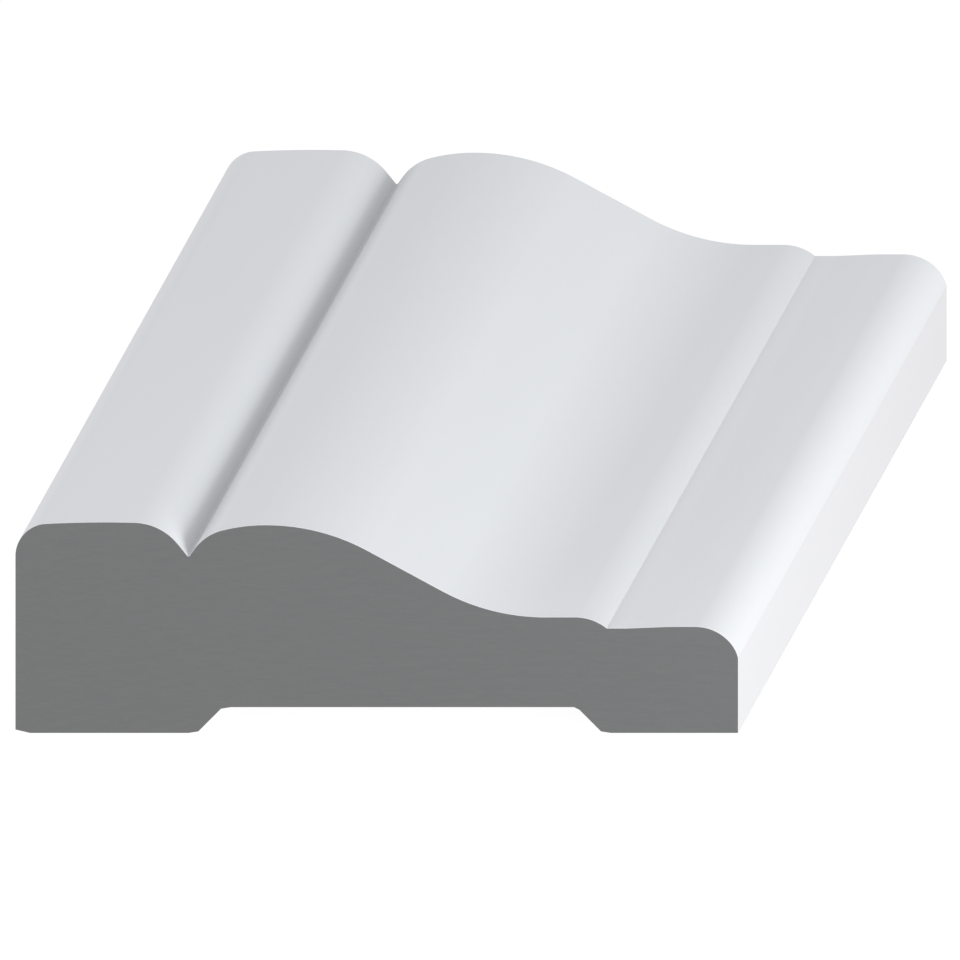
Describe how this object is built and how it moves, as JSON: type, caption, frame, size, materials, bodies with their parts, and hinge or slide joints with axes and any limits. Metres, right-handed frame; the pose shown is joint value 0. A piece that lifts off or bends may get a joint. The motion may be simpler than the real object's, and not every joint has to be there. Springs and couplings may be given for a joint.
{
  "type": "colonial casing",
  "caption": "Short length of primed colonial casing with an outer bead, a quirk, an ogee and a rounded thin edge, relieved at the back and cut square at both ends.",
  "frame": {"origin": "centre of the casing's footprint, on the wall plane that its two back lands rest on", "axes": "+X across the face from the thick outer edge to the thin edge at the opening, +Y along the moulding, +Z out of the wall through the moulded face"},
  "size_m": [0.0572, 0.0484, 0.0167],
  "materials": {
    "white_primer": "smooth satin white primer, with a bare mid-grey core at the two cut ends"
  },
  "bodies": {
    "root": {"casing": "white_primer"}
  },
  "joints": []
}
